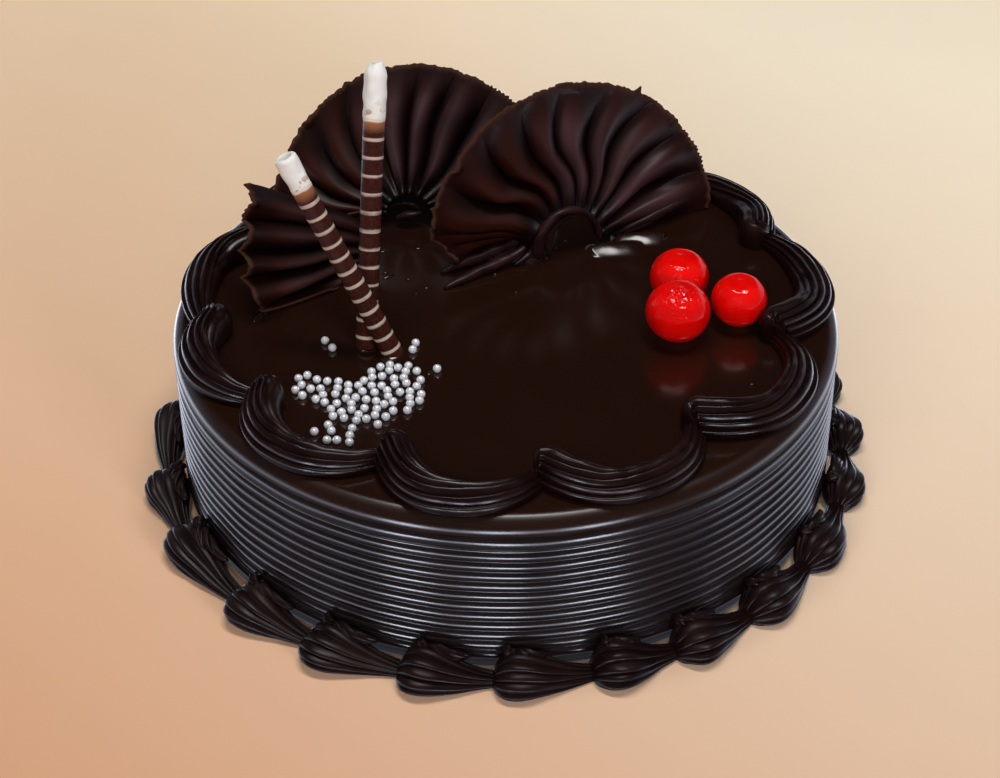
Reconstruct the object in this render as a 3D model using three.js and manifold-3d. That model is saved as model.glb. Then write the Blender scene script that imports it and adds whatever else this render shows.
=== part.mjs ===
// A round glazed chocolate cake, in millimetres, +Z up, standing on z = 0 with its centre on the Z axis.
// The front of the cake is -Y. Angles round the cake are in degrees, anticlockwise seen from above, from +X.
import * as THREE from 'three';
import { mergeVertices } from 'three/addons/utils/BufferGeometryUtils.js';
import Module from 'manifold-3d';

// ---- Driving dimensions ----
const gap = 0.3;                 // clearance between pieces that touch

const cakeRadius = 103;          // at the crests of the combed ridges, an 8-inch tin and its coating
const cakeHeight = 56;           // from the base to the top of the glaze
const roundSegments = 44;        // sides of the round pieces

const ridgeCount = 11;           // narrow comb ridges round the side
const ridgePitch = 3.69;
const lowestRidge = 5.3;         // height of the lowest crest
const ridgeDepth = 0.9;
const bandHeight = 46.7;         // height of the broader band above the ridges

const glazeThickness = 2.7;
const glazeLip = 49.6;           // lower edge of the glaze where it rolls over the rim
const lipThickness = 1;
const rimRadius = 4.8;           // rounding of the glazed rim

const pearlDiameter = 2.6;
const pearlSink = 0.35;          // how deep a pearl sits in the glaze

const strokeWidth = 12.6;        // piped strokes of the scalloped top border
const strokeHeight = 7.6;
const strokeHeadLift = 1.35;     // height of a stroke's curled head, as a factor
const lobeRadius = 96.7;         // middle line of a stroke at the middle of its lobe
const lobeDepthPower = 2.3;      // how squarely a lobe turns in to its cusps
const fluteDepth = 0.16;         // flute valley as a part of the section's size

const shellReach = 14.6;         // how far a base shell stands out from the side
const shellHeight = 12.6;

const fanThickness = 1.2;
const fanFoldDepth = 3.6;        // half the depth of a pleat at its deepest
const fanCup = 4;                // how far the rim bends back
const fanCurl = 5;               // how far the gathered edge curls forward
const fanFootHeight = 2.4;       // height of the gather's middle above the glaze

const stickRadius = 3.2;
const stickSides = 12;

// Cusps of the top border, seen as [angle, radius of the inner tip]. Each stroke starts at one and runs
// anticlockwise to the next. The last four, behind the fans, are evenly spaced.
const seenCusps = [
  [-173.2, 85.0], [-146.9, 79.8], [-114.2, 75.4], [-83.6, 77.8], [-49.4, 75.3], [-12.5, 77.0], [23.1, 83.7],
];
const hiddenCuspCount = 4;
const hiddenCuspRadius = 79;

// Junctions of the base shells that show at the front and sides. The others are evenly spaced.
const seenJunctions = [
  -189.5, -170.6, -156.3, -137.0, -122.0, -106.1, -91.6, -76.5, -63.0, -48.8, -33.3, -16.6, -1.8, 12.1,
];
const shellCount = 23;

// Each fan stands on the glaze round its gather, which arches over a small hollow. 'turn' is the direction of its
// foot line, 'lean' how far it tips back, 'from' and 'to' the sector that it opens over from that direction, and
// 'gather' and 'rim' its inner and outer radius.
const fans = [
  { name: 'fan_right', at: [21.5, 37], turn: 25, lean: 8, from: -1, to: 181, gather: 8.5, rim: 50.8, folds: 10 },
  { name: 'fan_back', at: [-29.5, 52], turn: 0, lean: 26, from: 8, to: 170, gather: 6.5, rim: 48, folds: 9 },
  { name: 'fan_left', at: [-37.5, 30], turn: 43, lean: 18, from: 139, to: 180, gather: 8, rim: 56, folds: 4 },
];

// Rolled wafer sticks, each from its foot on the glaze to the middle of its open tip.
const sticks = [
  { name: 'stick_rear', foot: [-42.5, -18.7], tip: [-37.6, 8.7, 138] },
  { name: 'stick_front', foot: [-34.2, -22.9], tip: [-63.6, -16.5, 121] },
];

// Glace cherries, each by its place on the glaze and its radius.
const cherries = [
  { name: 'cherry_back', at: [53.8, 4.3], radius: 9.2 },
  { name: 'cherry_front', at: [52.1, -15.2], radius: 9.9 },
  { name: 'cherry_right', at: [71.3, -7.5], radius: 8.6 },
];

// Silver pearls lie in overlapping ovals: [x, y, half length, half width, turn, count].
const pearlPatches = [
  [-39, -47, 15, 11, 20, 50],
  [-55, -42, 10, 6, -35, 12],
  [-33, -37, 8, 7, 0, 12],
  [-45, -60, 12, 8, 25, 9],
];
const strayPearls = [
  [-69.6, -37.7], [-55, -17.8], [-52.6, -21.5], [-27.4, -19.2], [-28.2, -22.6], [-20.6, -32.5],
];

// ---- Small tools ----
const radians = THREE.MathUtils.degToRad;
const { lerp } = THREE.MathUtils;
const polar = (radius, angle, z) => new THREE.Vector3(
  radius * Math.cos(radians(angle)), radius * Math.sin(radians(angle)), z);

// A seeded draw between -1 and 1, so that every build is the same.
function seededDraw(seed) {
  let state = seed * 2654435761 % 4294967296;
  return () => {
    state = (state * 1664525 + 1013904223) % 4294967296;
    return state / 2147483648 - 1;
  };
}

function signedVolume(geometry) {
  const place = geometry.getAttribute('position');
  const corner = [new THREE.Vector3(), new THREE.Vector3(), new THREE.Vector3()];
  let volume = 0;
  for (let i = 0; i < geometry.index.count; i += 3) {
    corner.forEach((point, k) => point.fromBufferAttribute(place, geometry.index.getX(i + k)));
    volume += corner[0].dot(corner[1].cross(corner[2])) / 6;
  }
  return volume;
}

// An indexed geometry from corners and triangles, with its faces turned to point out.
function solidFrom(corners, triangles) {
  const geometry = new THREE.BufferGeometry().setFromPoints(corners);
  geometry.setIndex(triangles.flat());
  if (signedVolume(geometry) < 0) geometry.setIndex(triangles.map(([a, b, c]) => [a, c, b]).flat());
  return geometry;
}

// Rings of equally many corners, joined one to the next and closed at both ends.
function loft(rings) {
  const count = rings[0].length;
  const corners = rings.flat();
  const triangles = [];
  for (let row = 0; row + 1 < rings.length; row++) {
    for (let k = 0; k < count; k++) {
      const next = (k + 1) % count;
      const [a, b] = [row * count + k, row * count + next];
      triangles.push([a, b, b + count], [a, b + count, a + count]);
    }
  }
  for (const [row, turned] of [[0, true], [rings.length - 1, false]]) {
    const middle = rings[row].reduce((sum, point) => sum.add(point), new THREE.Vector3()).divideScalar(count);
    corners.push(middle);
    for (let k = 0; k < count; k++) {
      const [a, b] = [row * count + k, row * count + (k + 1) % count];
      triangles.push(turned ? [b, a, corners.length - 1] : [a, b, corners.length - 1]);
    }
  }
  return solidFrom(corners, triangles);
}

function merged(geometry) {
  geometry.deleteAttribute('normal');
  geometry.deleteAttribute('uv');
  return mergeVertices(geometry, 1e-4);
}

// A turned solid whose profile of [radius, height] starts and ends on the axis.
function turned(profile, sides = roundSegments) {
  const points = profile.map(([radius, height]) => new THREE.Vector2(radius, height));
  return merged(new THREE.LatheGeometry(points, sides).rotateX(Math.PI / 2));
}

const wasm = await Module();
wasm.setup();

function toSolid(geometry) {
  const numbers = geometry.getAttribute('position').array;
  return new wasm.Manifold(new wasm.Mesh({
    numProp: 3, vertProperties: new Float32Array(numbers), triVerts: new Uint32Array(geometry.index.array),
  }));
}

function toGeometry(solid) {
  const largest = solid.decompose().sort((a, b) => b.volume() - a.volume())[0];
  const mesh = largest.getMesh();
  const geometry = new THREE.BufferGeometry();
  geometry.setAttribute('position', new THREE.BufferAttribute(mesh.vertProperties, 3));
  geometry.setIndex(new THREE.BufferAttribute(mesh.triVerts, 1));
  return geometry;
}

// ---- Finishes ----
const finishes = {
  coating: { color: 0x24140f, roughness: 0.38, metalness: 0 },
  glaze: { color: 0x1a0b06, roughness: 0.08, metalness: 0 },
  piping: { color: 0x26120e, roughness: 0.32, metalness: 0 },
  chocolate: { color: 0x2e140e, roughness: 0.4, metalness: 0 },
  wafer: { color: 0x45211a, roughness: 0.6, metalness: 0 },
  cherry: { color: 0xc60d08, roughness: 0.15, metalness: 0 },
};

const group = new THREE.Group();

function addPiece(name, geometry, finish) {
  const mesh = new THREE.Mesh(geometry, new THREE.MeshStandardMaterial(finishes[finish]));
  mesh.name = name;
  group.add(mesh);
}

// ---- Cake: one turned body with the combed ridges in its side ----
const cakeTop = cakeHeight - glazeThickness - gap;
const shoulderFoot = glazeLip - gap - 0.1;
const shoulderSlope = 1.3;       // the shoulder's last stretch in to the flat top

function combedSide() {
  const side = [];
  for (let k = 0; k < ridgeCount; k++) {
    const crest = lowestRidge + k * ridgePitch;
    side.push([cakeRadius - ridgeDepth, crest - ridgePitch / 2], [cakeRadius, crest]);
  }
  const lastGroove = lowestRidge + (ridgeCount - 0.5) * ridgePitch;
  return [...side, [cakeRadius - ridgeDepth, lastGroove], [cakeRadius, bandHeight]];
}

addPiece('cake', turned([
  [0, 0], [cakeRadius - ridgeDepth - gap, 0], ...combedSide(),
  [cakeRadius - 0.5, shoulderFoot], [cakeRadius - lipThickness - 2 * gap, shoulderFoot],
  [cakeRadius - lipThickness - 1.8, cakeTop - shoulderSlope], [cakeRadius - rimRadius - 1, cakeTop], [0, cakeTop],
]), 'coating');

// ---- Glaze: a thin cap that rolls over the rim, with the silver pearls set in it ----
const glazeUnder = cakeTop + gap;
const rimTurn = [0, 0.35, 0.7, 1].map((part) => {
  const angle = part * Math.PI / 2;
  return [cakeRadius - rimRadius * (1 - Math.cos(angle)), cakeHeight - rimRadius * (1 - Math.sin(angle))];
});

const glazeCap = turned([
  [0, glazeUnder], [cakeRadius - rimRadius - 0.8, glazeUnder],
  [cakeRadius - lipThickness - 1.4, glazeUnder - shoulderSlope + 0.1],
  [cakeRadius - lipThickness - 0.2, glazeLip], [cakeRadius - 0.2, glazeLip], ...rimTurn, [0, cakeHeight],
]);

// Pearls are drawn at random inside their ovals, each clear of the ones already placed.
function pearlPlaces() {
  const draw = seededDraw(11);
  const mostTries = 4000;
  const spacing = pearlDiameter + 0.25;
  const places = strayPearls.map(([x, y]) => new THREE.Vector2(x, y));
  for (const [x, y, halfLength, halfWidth, turn, count] of pearlPatches) {
    const wanted = places.length + count;
    for (let tries = 0; tries < mostTries && places.length < wanted; tries++) {
      const place = new THREE.Vector2(draw(), draw());
      if (place.length() > 1) continue;
      place.set(place.x * halfLength, place.y * halfWidth);
      place.rotateAround(new THREE.Vector2(), radians(turn)).add(new THREE.Vector2(x, y));
      if (places.every((other) => other.distanceTo(place) > spacing)) places.push(place);
    }
  }
  return places;
}

const pearlZ = cakeHeight + pearlDiameter / 2 - pearlSink;
const pearls = pearlPlaces().map((place, k) => toSolid(merged(
  new THREE.IcosahedronGeometry(pearlDiameter / 2, 0).rotateX(0.5 + k).translate(place.x, place.y, pearlZ))));
addPiece('glaze', toGeometry(wasm.Manifold.union([toSolid(glazeCap), ...pearls])), 'glaze');

// ---- Top border: fluted strokes, each an arched lobe with a raised head and a thin tail ----
const cusps = [...seenCusps];
const [lastAngle, firstAngle] = [seenCusps.at(-1)[0], seenCusps[0][0] + 360];
for (let k = 1; k <= hiddenCuspCount; k++) {
  cusps.push([lerp(lastAngle, firstAngle, k / (hiddenCuspCount + 1)), hiddenCuspRadius + (k % 2 ? 1.5 : -1.5)]);
}

const flutes = 5;
const strokeRows = [
  // along the stroke, width, height
  [0, 0.42, 1.0], [0.045, 0.8, 1.25], [0.12, 1.0, strokeHeadLift], [0.24, 1.03, 1.15], [0.4, 1.0, 1.0],
  [0.56, 0.98, 0.98], [0.72, 0.88, 0.92], [0.87, 0.68, 0.78], [1, 0.46, 0.6],
];

// The arched section of a stroke, from one foot over the flutes to the other foot, in width and height.
function flutedArch(halfWidth, height) {
  const points = [];
  const steps = 2 * flutes;
  for (let k = 0; k <= steps; k++) {
    const angle = Math.PI * k / steps;
    const size = k % 2 || k === 0 || k === steps ? 1 : 1 - fluteDepth;
    points.push([halfWidth * size * Math.cos(angle), height * size * Math.sin(angle) ** 0.8]);
  }
  return points;
}

// One stroke from cusp 'here' to cusp 'next', grown all round by 'swell'. Its middle line starts a little outside
// its own cusp's inner tip and ends under the next stroke's head.
const [headInset, tailInset] = [3, 8];

function stroke(here, next, scale, swell = 0, rows = strokeRows) {
  const headRadius = here[1] + headInset;
  const tailRadius = next[1] + tailInset;
  const middle = new THREE.Vector3();
  const onPath = (part) => {
    const side = 2 * part - 1;
    const inner = side < 0 ? headRadius : tailRadius;
    const radius = lobeRadius - (lobeRadius - inner) * Math.abs(side) ** lobeDepthPower;
    return polar(radius, lerp(here[0], next[0], part), cakeHeight + gap - swell);
  };
  return loft(rows.map(([part, width, height]) => {
    middle.copy(onPath(part));
    const along = onPath(part + 0.01).sub(onPath(part - 0.01)).normalize();
    const across = new THREE.Vector3(-along.y, along.x, 0);
    return flutedArch(width * scale * strokeWidth / 2 + swell, height * scale * strokeHeight + 2 * swell)
      .map(([aside, up]) => middle.clone().addScaledVector(across, aside).setZ(middle.z + up));
  }));
}

const strokeDraw = seededDraw(21);
const strokes = cusps.map((here, k) => {
  const [nextAngle, nextRadius] = cusps[(k + 1) % cusps.length];
  const next = [nextAngle < here[0] ? nextAngle + 360 : nextAngle, nextRadius];
  return { here, next, scale: 1 + 0.04 * strokeDraw() };
});
strokes.forEach(({ here, next, scale }, k) => {
  const after = strokes[(k + 1) % strokes.length];
  const headRows = strokeRows.slice(0, 6);
  const roomForHead = toSolid(stroke(after.here, after.next, after.scale, gap, headRows));
  const cut = toSolid(stroke(here, next, scale)).subtract(roomForHead);
  addPiece(`border_${String(k + 1).padStart(2, '0')}`, toGeometry(cut), 'piping');
});

// ---- Base border: shells piped into the corner between the side and what the cake stands on ----
const junctions = [...seenJunctions];
const hiddenShells = shellCount - (seenJunctions.length - 1);
for (let k = 1; k < hiddenShells; k++) {
  junctions.push(lerp(seenJunctions.at(-1), seenJunctions[0] + 360, k / hiddenShells));
}

const frontReach = 0.2;          // the front shells stand out further by this part

const shellRows = [
  // along the shell, size
  [0, 0.46], [0.06, 0.84], [0.2, 1.0], [0.45, 0.88], [0.74, 0.6], [1, 0.38],
];
const shellFolds = 3;

// The section of a shell, from its outer foot over its folds to the top of its contact with the side.
function shellSection(reach, height) {
  const points = [[0, 0], [reach * 0.86, 0]];
  const steps = 2 * shellFolds - 1;
  for (let k = 0; k <= steps; k++) {
    const angle = radians(lerp(14, 84, k / steps));
    const size = k % 2 ? 1 - fluteDepth : 1;
    points.push([reach * size * Math.cos(angle) ** 0.75, height * size * Math.sin(angle) ** 0.85]);
  }
  return [...points, [0, height * 0.9]];
}

const shellDraw = seededDraw(4);
junctions.slice(0, shellCount).forEach((start, k) => {
  const end = k + 1 < shellCount ? junctions[k + 1] : junctions[0] + 360;
  const angleGap = THREE.MathUtils.radToDeg(2 * gap / cakeRadius);
  const frontness = Math.max(0, -Math.sin(radians((start + end) / 2)));
  const reach = shellReach * (1 - frontReach * (1 - frontness)) * (1 + 0.03 * shellDraw());
  const height = shellHeight * (1 + 0.06 * shellDraw());
  const rings = shellRows.map(([part, size]) => shellSection(reach * size, height * size)
    .map(([out, up]) => polar(cakeRadius + gap + out, lerp(start, end - angleGap, part), up)));
  addPiece(`shell_${String(k + 1).padStart(2, '0')}`, loft(rings), 'piping');
});

// ---- Chocolate fans: thin pleated sheets that spread from a gathered foot ----
// A point of the sheet: 'across' runs round the fan and 'out' from the gather to the rim, both 0 to 1.
function sheetPoint(fan, across, out) {
  const draw = seededDraw(fan.rim + Math.round(across * fan.folds));
  const angle = radians(lerp(fan.from, fan.to, across));
  const rim = fan.rim * (1 + 0.02 * draw());
  const radius = lerp(fan.gather, rim, out);
  const pleat = 1 - 2 * Math.abs(Math.cos(Math.PI * fan.folds * across)) ** 2.2;
  const depth = fanFoldDepth * Math.sin(Math.PI * Math.min(out + 0.18, 1) ** 0.8) + 0.9 * out;
  const bend = fanCup * out ** 2 * Math.sin(angle) - fanCurl * (1 - out) ** 6;
  return new THREE.Vector3(radius * Math.cos(angle), bend - pleat * depth, radius * Math.sin(angle));
}

function pleatedSheet(fan) {
  const columns = fan.folds * 4;
  const rows = [0, 0.16, 0.4, 0.7, 1];
  const corners = [];
  for (const side of [-0.5, 0.5]) {
    for (let i = 0; i <= columns; i++) {
      for (const out of rows) {
        corners.push(sheetPoint(fan, i / columns, out).add(new THREE.Vector3(0, side * fanThickness, 0)));
      }
    }
  }
  const count = rows.length;
  const half = (columns + 1) * count;
  const at = (i, j) => i * count + j;
  const triangles = [];
  const quad = (a, b, c, d) => triangles.push([a, b, c], [a, c, d]);
  for (let i = 0; i < columns; i++) {
    for (let j = 0; j + 1 < count; j++) {
      const [a, b, c, d] = [at(i, j), at(i + 1, j), at(i + 1, j + 1), at(i, j + 1)];
      quad(a, b, c, d);
      triangles.push([half + a, half + c, half + b], [half + a, half + d, half + c]);
    }
    quad(at(i + 1, 0), at(i, 0), half + at(i, 0), half + at(i + 1, 0));
    quad(at(i, count - 1), at(i + 1, count - 1), half + at(i + 1, count - 1), half + at(i, count - 1));
  }
  for (let j = 0; j + 1 < count; j++) {
    quad(at(0, j), at(0, j + 1), half + at(0, j + 1), half + at(0, j));
    quad(at(columns, j + 1), at(columns, j), half + at(columns, j), half + at(columns, j + 1));
  }
  return solidFrom(corners, triangles);
}

for (const fan of fans) {
  const sheet = pleatedSheet(fan).rotateX(radians(-fan.lean)).rotateZ(radians(fan.turn));
  sheet.translate(fan.at[0], fan.at[1], cakeHeight + fanFootHeight);
  addPiece(fan.name, sheet, 'chocolate');
}

// ---- Rolled wafer sticks, cut level where they meet the glaze, open at the tip ----
const stickHollow = { radius: 1.7, depth: 5 };
const belowCut = 6;              // length of the roll that the level cut takes off

for (const { name, foot, tip } of sticks) {
  const start = new THREE.Vector3(foot[0], foot[1], cakeHeight + gap);
  const end = new THREE.Vector3(...tip);
  const axis = end.clone().sub(start).normalize();
  const length = start.distanceTo(end) + belowCut;
  const roll = turned([
    [0, 0], [stickRadius, 0], [stickRadius, length], [stickHollow.radius, length],
    [stickHollow.radius, length - stickHollow.depth], [0, length - stickHollow.depth],
  ], stickSides);
  roll.applyQuaternion(new THREE.Quaternion().setFromUnitVectors(new THREE.Vector3(0, 0, 1), axis));
  roll.translate(...start.clone().addScaledVector(axis, -belowCut).toArray());
  const above = toSolid(roll).trimByPlane([0, 0, 1], cakeHeight + gap);
  addPiece(name, toGeometry(above), 'wafer');
}

// ---- Cherries: slightly squat, with a shallow dimple on top ----
const squat = 0.95;
const dimple = 0.5;
const cherrySteps = 7;

for (const { name, at, radius } of cherries) {
  const profile = [[0, -radius * squat]];
  for (let k = 1; k < cherrySteps; k++) {
    const angle = Math.PI * (k / cherrySteps - 0.5);
    profile.push([radius * Math.cos(angle), radius * squat * Math.sin(angle)]);
  }
  profile.push([0, radius * squat - dimple]);
  const cherry = turned(profile, 12).translate(at[0], at[1], cakeHeight + gap + radius * squat);
  addPiece(name, cherry, 'cherry');
}

export default group;
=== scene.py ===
import math

import bpy
from mathutils import Matrix, Vector, noise


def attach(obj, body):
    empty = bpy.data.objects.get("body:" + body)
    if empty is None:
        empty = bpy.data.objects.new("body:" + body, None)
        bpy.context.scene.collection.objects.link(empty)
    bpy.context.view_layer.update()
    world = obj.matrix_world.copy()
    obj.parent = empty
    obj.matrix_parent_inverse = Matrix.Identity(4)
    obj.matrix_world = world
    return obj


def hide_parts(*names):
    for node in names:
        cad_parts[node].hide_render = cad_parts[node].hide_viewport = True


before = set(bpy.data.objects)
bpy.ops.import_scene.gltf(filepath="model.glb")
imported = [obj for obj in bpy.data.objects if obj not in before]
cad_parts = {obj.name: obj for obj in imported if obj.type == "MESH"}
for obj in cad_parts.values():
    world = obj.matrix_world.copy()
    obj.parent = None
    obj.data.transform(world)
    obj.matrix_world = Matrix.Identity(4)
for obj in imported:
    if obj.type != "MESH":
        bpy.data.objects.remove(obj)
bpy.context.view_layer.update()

# Sizes below are in millimetres, as on the cake; angles in degrees anticlockwise from +X. The front is -Y.
mm = 0.001


def lerp(start, end, part):
    return start + (end - start) * part


def smooth(part):
    part = min(max(part, 0.0), 1.0)
    return part * part * (3 - 2 * part)


def between(rows, part):  # smooth value at part, between rows of (part, value)
    last = len(rows) - 1
    k = 0
    while k < last - 1 and part > rows[k + 1][0]:
        k += 1
    (x0, y0), (x1, y1) = rows[k], rows[k + 1]
    before = rows[k - 1] if k else rows[k]
    after = rows[k + 2] if k + 2 <= last else rows[k + 1]
    slope0 = (y1 - before[1]) / (x1 - before[0])
    slope1 = (after[1] - y0) / (after[0] - x0)
    t = min(max((part - x0) / (x1 - x0), 0.0), 1.0)
    width = x1 - x0
    return ((2 * t ** 3 - 3 * t ** 2 + 1) * y0 + (t ** 3 - 2 * t ** 2 + t) * width * slope0
            + (3 * t ** 2 - 2 * t ** 3) * y1 + (t ** 3 - t ** 2) * width * slope1)


def polar(radius, angle, z=0.0):
    turn = math.radians(angle)
    return Vector((radius * math.cos(turn), radius * math.sin(turn), z))


def seededDraw(seed):  # draws between -1 and 1, the same on every run
    state = seed * 2654435761 % 4294967296

    def draw():
        nonlocal state
        state = (state * 1664525 + 1013904223) % 4294967296
        return state / 2147483648 - 1
    return draw


def drawnOffset(draw):  # a drawn place in the noise, so that no two pieces wander alike
    return Vector((draw() * 40, draw() * 40, draw() * 40))


# Modelling helpers
def deselectAll():
    bpy.ops.object.select_all(action="DESELECT")


def selectOnly(piece):
    deselectAll()
    piece.select_set(True)
    bpy.context.view_layer.objects.active = piece


def closeSkin():
    bpy.ops.object.mode_set(mode="EDIT")
    bpy.ops.mesh.select_all(action="SELECT")
    bpy.ops.mesh.remove_doubles(threshold=2e-6)
    bpy.ops.mesh.normals_make_consistent(inside=False)
    bpy.ops.object.mode_set(mode="OBJECT")


def skin(name, rows, columns, place, closed=True):  # a grid laid on place(row share, column index)
    deselectAll()
    bpy.ops.mesh.primitive_grid_add(x_subdivisions=rows, y_subdivisions=columns, size=1)
    piece = bpy.context.object
    piece.name = name
    for corner in piece.data.vertices:
        corner.co = place(corner.co.x + 0.5, round((corner.co.y + 0.5) * columns)) * mm
    selectOnly(piece)
    if closed:
        closeSkin()
    bpy.ops.object.shade_smooth()
    return piece


def turned(name, profile, steps):  # (radius, height) points extruded one by one, then spun round Z
    deselectAll()
    bpy.ops.mesh.primitive_plane_add(size=2 * mm)
    piece = bpy.context.object
    piece.name = name
    bpy.ops.object.mode_set(mode="EDIT")
    bpy.ops.mesh.select_all(action="SELECT")
    bpy.ops.mesh.merge(type="CENTER")
    radius, height = profile[0]
    bpy.ops.transform.translate(value=(radius * mm, 0, height * mm))
    for start, end in zip(profile, profile[1:]):
        move = ((end[0] - start[0]) * mm, 0, (end[1] - start[1]) * mm)
        bpy.ops.mesh.extrude_region_move(TRANSFORM_OT_translate={"value": move})
    bpy.ops.mesh.select_all(action="SELECT")
    bpy.ops.mesh.spin(steps=steps, angle=math.tau, center=(0, 0, 0), axis=(0, 0, 1))
    closeSkin()
    bpy.ops.object.shade_smooth()
    return piece


def joined(pieces):  # the first one takes in the others and keeps its name
    selectOnly(pieces[0])
    for piece in pieces[1:]:
        piece.select_set(True)
    bpy.ops.object.join()
    return pieces[0]


def shift(piece, matrix):
    piece.data.transform(matrix)
    piece.data.update()


def markPoints(piece, name, numbers):  # a value on each point, for the material to read
    attribute = piece.data.attributes.new(name, "FLOAT", "POINT")
    for item, number in zip(attribute.data, numbers):
        item.value = number


def finishPiece(piece, material, slot, *nodes):
    piece.data.materials.clear()
    piece.data.materials.append(material)
    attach(piece, "root")
    if nodes:
        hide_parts(*nodes)


# Camera, at the photograph's angle
view = {"lens": 84.48, "place": (0, -0.5988, 0.4718), "tilt": 53, "roll": -0.238, "shift": (-0.0061, 0.011)}
cameraData = bpy.data.cameras.new("camera")
cameraData.lens = view["lens"]
cameraData.sensor_width = 36
cameraData.shift_x, cameraData.shift_y = view["shift"]
cameraData.clip_start = 0.01
camera = bpy.data.objects.new("camera", cameraData)
bpy.context.scene.collection.objects.link(camera)
camera.matrix_world = (Matrix.Translation(view["place"]) @ Matrix.Rotation(math.radians(view["tilt"]), 4, "X")
                       @ Matrix.Rotation(math.radians(view["roll"]), 4, "Z"))
bpy.context.scene.camera = camera
bpy.context.scene.view_settings.view_transform = "Standard"


# Materials
def addNode(tree, kind, **settings):
    node = tree.nodes.new(kind)
    for key, value in settings.items():
        setattr(node, key, value)
    return node


def newGroup(name, inputs, outputs):
    group = bpy.data.node_groups.new(name, "ShaderNodeTree")
    for label, kind, value in inputs:
        socket = group.interface.new_socket(name=label, in_out="INPUT", socket_type=kind)
        socket.default_value = value
    for label, kind in outputs:
        group.interface.new_socket(name=label, in_out="OUTPUT", socket_type=kind)
    return group, addNode(group, "NodeGroupInput"), addNode(group, "NodeGroupOutput")


def feed(tree, socket, value):  # a link from another socket, or else a fixed value
    if isinstance(value, bpy.types.NodeSocket):
        tree.links.new(value, socket)
    else:
        socket.default_value = value


def mapped(tree, value, low, high, newLow=0, newHigh=1):
    node = addNode(tree, "ShaderNodeMapRange", clamp=True)
    for socket, number in zip(node.inputs, (value, low, high, newLow, newHigh)):
        feed(tree, socket, number)
    return node.outputs[0]


def blended(tree, factor, first, second, **settings):
    node = addNode(tree, "ShaderNodeMix", data_type="RGBA", **settings)
    for label, value in (("Factor", factor), ("A", first), ("B", second)):
        feed(tree, node.inputs[label], value)
    return node.outputs["Result"]


def combined(tree, operation, *values):
    node = addNode(tree, "ShaderNodeMath", operation=operation)
    for socket, value in zip(node.inputs, values):
        feed(tree, socket, value)
    return node.outputs[0]


def noisy(tree, where, scale, detail=2, distortion=0):
    node = addNode(tree, "ShaderNodeTexNoise")
    for label, value in (("Vector", where), ("Scale", scale), ("Detail", detail), ("Distortion", distortion)):
        feed(tree, node.inputs[label], value)
    return node.outputs["Fac"]


def bumped(tree, height, strength, distance):
    node = addNode(tree, "ShaderNodeBump")
    for label, value in (("Height", height), ("Strength", strength), ("Distance", distance * mm)):
        feed(tree, node.inputs[label], value)
    return node


def objectPlace(tree):
    return addNode(tree, "ShaderNodeTexCoord").outputs["Object"]


def axesOf(tree, vector):
    split = addNode(tree, "ShaderNodeSeparateXYZ")
    tree.links.new(vector, split.inputs[0])
    return split.outputs


def marked(tree, name):
    return addNode(tree, "ShaderNodeAttribute", attribute_name=name).outputs["Fac"]


def fedBy(shader, label):
    return shader.inputs[label].links[0].from_socket


def skinGroup():  # uneven chocolate: cloudy colour, patchy gloss and a fine grain
    color, number = "NodeSocketColor", "NodeSocketFloat"
    group, given, result = newGroup("chocolateSkin", [
        ("Dark", color, (0.01, 0.004, 0.003, 1)), ("Light", color, (0.03, 0.012, 0.008, 1)),
        ("Patch Scale", number, 60), ("Grain Scale", number, 900),
        ("Low Roughness", number, 0.2), ("High Roughness", number, 0.35),
    ], [("Color", color), ("Roughness", number), ("Height", number)])
    given, where = given.outputs, objectPlace(group)
    share = mapped(group, noisy(group, where, given["Patch Scale"], detail=3), 0.35, 0.65)
    link = group.links.new
    link(blended(group, share, given["Dark"], given["Light"]), result.inputs["Color"])
    rough = mapped(group, share, 0, 1, given["Low Roughness"], given["High Roughness"])
    link(rough, result.inputs["Roughness"])
    link(noisy(group, where, given["Grain Scale"]), result.inputs["Height"])
    return group


chocolateSkin = skinGroup()


def newMaterial(name, **constants):
    material = bpy.data.materials.new(name)
    material.use_nodes = True
    shader = material.node_tree.nodes["Principled BSDF"]
    for label, value in constants.items():
        shader.inputs[label].default_value = value
    return material, material.node_tree, shader


def chocolateMaterial(name, look, bump, **constants):  # bump: strength, and depth in millimetres
    material, tree, shader = newMaterial(name, **constants)
    group = addNode(tree, "ShaderNodeGroup", node_tree=chocolateSkin)
    for label, value in look.items():
        group.inputs[label].default_value = value
    tree.links.new(group.outputs["Color"], shader.inputs["Base Color"])
    tree.links.new(group.outputs["Roughness"], shader.inputs["Roughness"])
    tree.links.new(bumped(tree, group.outputs["Height"], *bump).outputs["Normal"], shader.inputs["Normal"])
    return material, tree, shader


coating, *_ = chocolateMaterial("coating", {
    "Dark": (0.007, 0.0038, 0.0042, 1), "Light": (0.013, 0.0075, 0.008, 1),
    "Patch Scale": 40, "Grain Scale": 700, "Low Roughness": 0.18, "High Roughness": 0.25}, (0.25, 0.05))
glaze, glazeTree, glazeShader = chocolateMaterial("glaze", {
    "Dark": (0.0125, 0.0042, 0.0022, 1), "Light": (0.0145, 0.005, 0.0028, 1),
    "Patch Scale": 14, "Grain Scale": 60, "Low Roughness": 0.14, "High Roughness": 0.17,
}, (0.1, 0.05), **{"Specular IOR Level": 0.4})
rimGloss = {  # height where it begins and ends, and how much roughness it adds or takes
    "rolled": (55.4, 55.96, 0.22), "lower": (54, 55.1, 0.14)}


def dullRim(tree, shader):  # the glaze is duller where it runs thin over the rim
    height = axesOf(tree, objectPlace(tree))["Z"]
    rolled, lower = [mapped(tree, height, start * mm, end * mm, most, 0)
                     for start, end, most in rimGloss.values()]
    extra = combined(tree, "SUBTRACT", rolled, lower)
    tree.links.new(combined(tree, "ADD", extra, fedBy(shader, "Roughness")), shader.inputs["Roughness"])


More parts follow.
